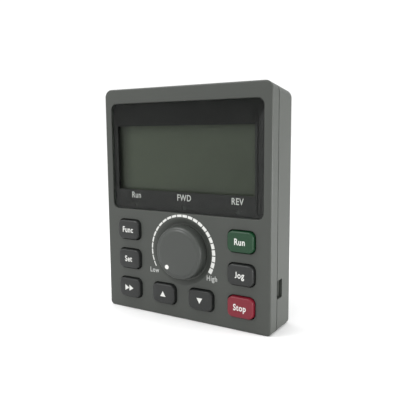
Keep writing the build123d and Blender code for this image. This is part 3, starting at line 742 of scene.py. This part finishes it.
def scale_tree():
    """Blocks along a straight ruler, bent round the Y axis."""
    tree = bpy.data.node_groups.new("printed_scale", "GeometryNodeTree")
    sizes = {"Outer Radius": 14.28, "First Width": 0.42, "Last Width": 1.45,
             "Start Angle": SCALE_START, "Pitch": SCALE_PITCH, "Fill": 0.84, "Thickness": 0.07,
             "Centre X": 0.0, "Centre Z": 0.0, "Face Y": 0.0}
    tree.interface.new_socket("Geometry", in_out="OUTPUT", socket_type="NodeSocketGeometry")
    tree.interface.new_socket("Ink", in_out="INPUT", socket_type="NodeSocketMaterial")
    count = tree.interface.new_socket("Blocks", in_out="INPUT", socket_type="NodeSocketInt")
    count.default_value = SCALE_BLOCKS
    for name, value in sizes.items():
        socket = tree.interface.new_socket(name, in_out="INPUT", socket_type="NodeSocketFloat")
        socket.default_value = value
    graph = Graph(tree)
    given = graph.node("NodeGroupInput")
    size = {name: Number(graph, given.outputs[name]) for name in sizes}
    blocks = Number(graph, given.outputs["Blocks"])
    ruler = graph.node("GeometryNodePoints", None, {"Count": blocks})
    order = graph.number("GeometryNodeInputIndex")
    along = graph.node("ShaderNodeCombineXYZ", None, {"X": order})
    laid = graph.node("GeometryNodeSetPosition", None,
                      {"Geometry": ruler.outputs[0], "Position": along.outputs[0]})
    slab = graph.node("GeometryNodeMeshCube", None, {"Vertices X": 6})
    placed = graph.node("GeometryNodeInstanceOnPoints", None,
                        {"Points": laid.outputs[0], "Instance": slab.outputs["Mesh"],
                         "Scale": (0.5, 1.0, 1.0)})
    solid = graph.node("GeometryNodeRealizeInstances", None, {"Geometry": placed.outputs[0]})
    place = graph.node("GeometryNodeInputPosition").outputs[0]
    spot = graph.node("ShaderNodeSeparateXYZ", None, {0: place})
    x, y, z = (Number(graph, spot.outputs[i]) for i in range(3))
    block = (x + 0.5).apply("FLOOR")
    grown = block / (blocks - 1)
    width = size["First Width"] + (size["Last Width"] - size["First Width"]) * grown
    turned = block + 2.0 * (x - block) * size["Fill"]
    angle = ((size["Start Angle"] - size["Pitch"] * (turned + 0.5)) * (math.pi / 180))
    radius = size["Outer Radius"] - width * (0.5 - z)
    bent = graph.node("ShaderNodeCombineXYZ", None, {
        "X": (size["Centre X"] + radius * angle.apply("COSINE")) * MM,
        "Y": (size["Face Y"] + size["Thickness"] * y) * MM,
        "Z": (size["Centre Z"] + radius * angle.apply("SINE")) * MM,
    })
    ring = graph.node("GeometryNodeSetPosition", None,
                      {"Geometry": solid.outputs[0], "Position": bent.outputs[0]})
    inked_ring = graph.node("GeometryNodeSetMaterial", None,
                            {"Geometry": ring.outputs[0], "Material": given.outputs["Ink"]})
    final = graph.node("NodeGroupOutput")
    graph.put(final.inputs["Geometry"], inked_ring.outputs[0])
    return tree


# %% Grow the scale and keep it as a plain mesh
finishes["legend_white"] = inked("legend_white", paint(222, 223, 219))
finishes["legend_grey"] = inked("legend_grey", paint(192, 194, 191))
PRINT_PROUD = 0.025
SLAB_HALF = 0.035
HOUSING = "housing"


def grown_mesh(tree, values, name):
    """Run a Geometry Nodes tree once with the given inputs and return its plain mesh."""
    seed = bpy.data.objects.new(name + "_seed", bpy.data.meshes.new(name + "_seed"))
    bpy.context.scene.collection.objects.link(seed)
    modifier = seed.modifiers.new(name, "NODES")
    modifier.node_group = tree
    for item in tree.interface.items_tree:
        if item.in_out == "INPUT" and item.name in values:
            modifier[item.identifier] = values[item.name]
    view = bpy.context.evaluated_depsgraph_get()
    mesh = bpy.data.meshes.new_from_object(seed.evaluated_get(view))
    seed.modifiers.clear()
    bpy.data.objects.remove(seed)
    return mesh


scale_mesh = grown_mesh(scale_tree(), {
    "Centre X": KNOB_AT.x, "Centre Z": KNOB_AT.z, "Face Y": FACE_Y - PRINT_PROUD + SLAB_HALF,
    "Ink": finishes["legend_white"]}, "printed_scale")
printed_scale = bpy.data.objects.new("printed_scale", scale_mesh)
bpy.context.scene.collection.objects.link(printed_scale)
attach(printed_scale, HOUSING)
print("scale has", len(scale_mesh.vertices), "points in", SCALE_BLOCKS, "blocks")

# %% [markdown]
# ## The printed words
# Keys and scale carry the plain function words that every drive has, such as Run and Stop.
# They are set in Blender's own plain letters, made a little bolder and narrower, turned into
# a thin slab of ink, and stood on the face they are printed on. On a key the slab follows
# the crowned top, point by point.

# %% Words as thin slabs of ink
INK_HALF = 0.03
CAPITAL_SHARE = 0.70
LETTER_SPACING = 1.1


def word_mesh(text, height, narrow, bold):
    """A flat word, centred, with capitals of the given height in mm, as bmesh."""
    letters = bpy.data.curves.new("word", "FONT")
    letters.body = text
    letters.size = height / CAPITAL_SHARE
    letters.align_x = "CENTER"
    letters.align_y = "CENTER"
    letters.offset = bold
    letters.space_character = LETTER_SPACING
    letters.extrude = INK_HALF
    letters.resolution_u = 4
    holder = bpy.data.objects.new("word", letters)
    bpy.context.scene.collection.objects.link(holder)
    bpy.context.view_layer.update()
    mesh = bpy.data.meshes.new_from_object(holder.evaluated_get(bpy.context.evaluated_depsgraph_get()))
    bpy.data.objects.remove(holder)
    shape = bmesh.new()
    shape.from_mesh(mesh)
    bpy.data.meshes.remove(mesh)
    bmesh.ops.remove_doubles(shape, verts=shape.verts, dist=1e-4)
    xs = [v.co.x for v in shape.verts]
    middle = (min(xs) + max(xs)) / 2
    for vert in shape.verts:
        vert.co.x = (vert.co.x - middle) * narrow
    return shape


def letter_groups(shape):
    """The points of each letter, from left to right."""
    waiting = set(shape.verts)
    groups = []
    while waiting:
        group = [waiting.pop()]
        for vert in group:
            for edge in vert.link_edges:
                other = edge.other_vert(vert)
                if other in waiting:
                    waiting.remove(other)
                    group.append(other)
        groups.append(group)
    return sorted(groups, key=lambda group: min(v.co.x for v in group))


def stand_first_letter(shape):
    """Shorten a first letter that hangs below the line, so that it stands on the line."""
    first, second = letter_groups(shape)[:2]
    line = min(v.co.y for v in second)
    top = max(v.co.y for v in first)
    foot = min(v.co.y for v in first)
    for vert in first:
        vert.co.y = top - (top - vert.co.y) * (top - line) / (top - foot)


def print_shape(name, shape, x, z, surface, body, finish="legend_white"):
    """Stand a flat shape on a face: surface gives the face's depth in mm at a point."""
    for vert in shape.verts:
        flat_x, flat_z, thick = vert.co
        depth = surface(flat_x, flat_z) - PRINT_PROUD + INK_HALF - thick
        vert.co = Vector((x + flat_x, depth, z + flat_z)) * MM
    bmesh.ops.recalc_face_normals(shape, faces=shape.faces)
    mesh = bpy.data.meshes.new(name)
    shape.to_mesh(mesh)
    shape.free()
    return dressed(name, mesh, finish, body, False)


# %% The words on the keys
KEY_WORDS = {"func": "Func", "set": "Set", "run": "Run", "jog": "Jog", "stop": "Stop"}
WORD_HEIGHT = 2.25
WORD_NARROW = 0.80
WORD_BOLD = 0.065


def cap_surface(key_name):
    """The depth of a key's crowned top, as a function of the place on it."""
    low, high = box_mm("key_" + key_name)
    half_w, half_h = (high.x - low.x) / 2 - FLANGE, (high.z - low.z) / 2 - FLANGE

    def depth(x, z):
        return low.y + crown_height(x, z, half_w, half_h)

    return depth


for key_name, word in KEY_WORDS.items():
    at = middle_mm("key_" + key_name)
    letters = word_mesh(word, WORD_HEIGHT, WORD_NARROW, WORD_BOLD)
    if word.startswith("J"):
        stand_first_letter(letters)
    print_shape("word_" + key_name, letters, at.x, at.z,
                cap_surface(key_name), body_of_node["key_" + key_name])
print("printed", len(KEY_WORDS), "key words")

# %% The arrows on the keys
ARROW_HALF = 1.25
DOUBLE_HALF = ARROW_HALF * 0.95
DOUBLE_APART = 1.05


def arrow_shape(triangles):
    """Flat triangles given by their corners in mm, as thin slabs."""
    shape = bmesh.new()
    for corners in triangles:
        front = [shape.verts.new((x, z, INK_HALF)) for x, z in corners]
        back = [shape.verts.new((x, z, -INK_HALF)) for x, z in corners]
        shape.faces.new(front)
        shape.faces.new(back[::-1])
        for i in range(3):
            shape.faces.new((front[i], back[i], back[(i + 1) % 3], front[(i + 1) % 3]))
    return shape


def pointing(x, size, turns):
    """The corners of a triangle at x that points right, turned by quarter turns."""
    corners = [(-size * 0.8, -size), (size * 0.9, 0.0), (-size * 0.8, size)]
    for _ in range(turns):
        corners = [(-b, a) for a, b in corners]
    return [(x + a, b) for a, b in corners]


ARROWS = {
    "up": [pointing(0.0, ARROW_HALF, 1)],
    "down": [pointing(0.0, ARROW_HALF, 3)],
    "shift": [pointing(-DOUBLE_APART, DOUBLE_HALF, 0), pointing(DOUBLE_APART, DOUBLE_HALF, 0)],
}
for key_name, triangles in ARROWS.items():
    at = middle_mm("key_" + key_name)
    print_shape("arrow_" + key_name, arrow_shape(triangles), at.x, at.z,
                cap_surface(key_name), body_of_node["key_" + key_name])
print("printed", len(ARROWS), "arrows")

# %% The words on the case and behind the window


def face_surface(x, z):
    """The flat front face."""
    return FACE_Y


def mask_surface(x, z):
    """Just in front of the black border behind the window."""
    return box_mm("window_mask")[0].y


SCALE_WORDS_DOWN = 8.6
SCALE_WORD_HEIGHT = 1.95
for word, dx in (("Low", -13.1), ("High", 12.8)):
    print_shape("word_" + word.lower(), word_mesh(word, SCALE_WORD_HEIGHT, 0.82, 0.03),
                KNOB_AT.x + dx, KNOB_AT.z - SCALE_WORDS_DOWN, face_surface, HOUSING, "legend_grey")
PIPES_LOW, PIPES_HIGH = box_mm("light_pipes")
PIPE_FLANGE_R = (PIPES_HIGH.z - PIPES_LOW.z) / 2
SIGN_HEIGHT = 2.35
SIGN_ABOVE_PIPE = 3.7
pipe_places = (PIPES_LOW.x + PIPE_FLANGE_R, (PIPES_LOW.x + PIPES_HIGH.x) / 2,
               PIPES_HIGH.x - PIPE_FLANGE_R)
for word, x in zip(("Run", "FWD", "REV"), pipe_places):
    print_shape("sign_" + word.lower(), word_mesh(word, SIGN_HEIGHT, 0.80, 0.04), x,
                middle_mm("light_pipes").z + SIGN_ABOVE_PIPE, mask_surface, HOUSING, "legend_grey")
print("printed the scale's ends and three window signs")

# %% [markdown]
# ## The studio
# The keypad stands on a white, endless floor in a bright tent. A small soft lamp hangs close
# above its left front. Because it is close, the upper left of the face is lighter than the
# right, and the knob throws a soft shadow to its lower right. The tent is a little darker on
# the right, and a low lamp there lights the foot of the side wall more than its top, as a
# bright table would.

# %% Floor
FLOOR_HALF = 12.0
FLOOR_WHITE = (0.88, 0.88, 0.88, 1.0)
FLOOR_WORN = (0.86, 0.86, 0.86, 1.0)
floor_finish = Finish("studio_floor", Roughness=0.9, Specular_IOR_Level=0.1)
floor_tone = floor_finish.noise(400.0)
floor_finish.set("Base Color", floor_finish.mixed(floor_tone, FLOOR_WORN, FLOOR_WHITE))
floor_mesh = bpy.data.meshes.new("studio_floor")
floor_mesh.from_pydata([(-FLOOR_HALF, -FLOOR_HALF, 0), (FLOOR_HALF, -FLOOR_HALF, 0),
                        (FLOOR_HALF, FLOOR_HALF, 0), (-FLOOR_HALF, FLOOR_HALF, 0)], [], [(0, 1, 2, 3)])
floor_mesh.materials.append(floor_finish.material)
floor = bpy.data.objects.new("studio_floor", floor_mesh)
bpy.context.scene.collection.objects.link(floor)

# %% Lights
MIDDLE = (0.0, 0.0, 0.045)
WALL_FOOT = (0.036, 0.0, 0.0)
KEY_LAMP_AT = (-0.12, -0.11, 0.30)
LOW_LAMP_AT = (0.24, 0.02, 0.02)
TENT_BASE = 1.02
TENT_ROOF = 0.42
TENT_RIGHT = 0.32
KEY_WATTS = 0.38
LOW_WATTS = 0.62


def softbox(name, at, target, size, watts):
    """A square lamp that faces a target."""
    lamp = bpy.data.lights.new(name, "AREA")
    lamp.shape = "SQUARE"
    lamp.size = size
    lamp.energy = watts
    holder = bpy.data.objects.new(name, lamp)
    holder.location = at
    holder.rotation_euler = (Vector(target) - Vector(at)).to_track_quat("-Z", "Y").to_euler()
    bpy.context.scene.collection.objects.link(holder)


softbox("key_lamp", KEY_LAMP_AT, MIDDLE, 0.12, KEY_WATTS)
softbox("low_lamp", LOW_LAMP_AT, WALL_FOOT, 0.10, LOW_WATTS)

world = bpy.data.worlds.new("studio")
world.use_nodes = True
tent = Graph(world.node_tree)
direction = tent.node("ShaderNodeTexCoord").outputs["Generated"]
split = tent.node("ShaderNodeSeparateXYZ", None, {0: direction})
rightward = Number(tent, split.outputs["X"]).clamped()
upward = Number(tent, split.outputs["Z"]).clamped()
brightness = TENT_BASE + TENT_ROOF * upward - TENT_RIGHT * rightward
background = world.node_tree.nodes["Background"]
background.inputs["Color"].default_value = (1.0, 1.0, 1.0, 1.0)
tent.put(background.inputs["Strength"], brightness)
bpy.context.scene.world = world
bpy.context.scene.view_settings.view_transform = "Standard"
print("studio ready")
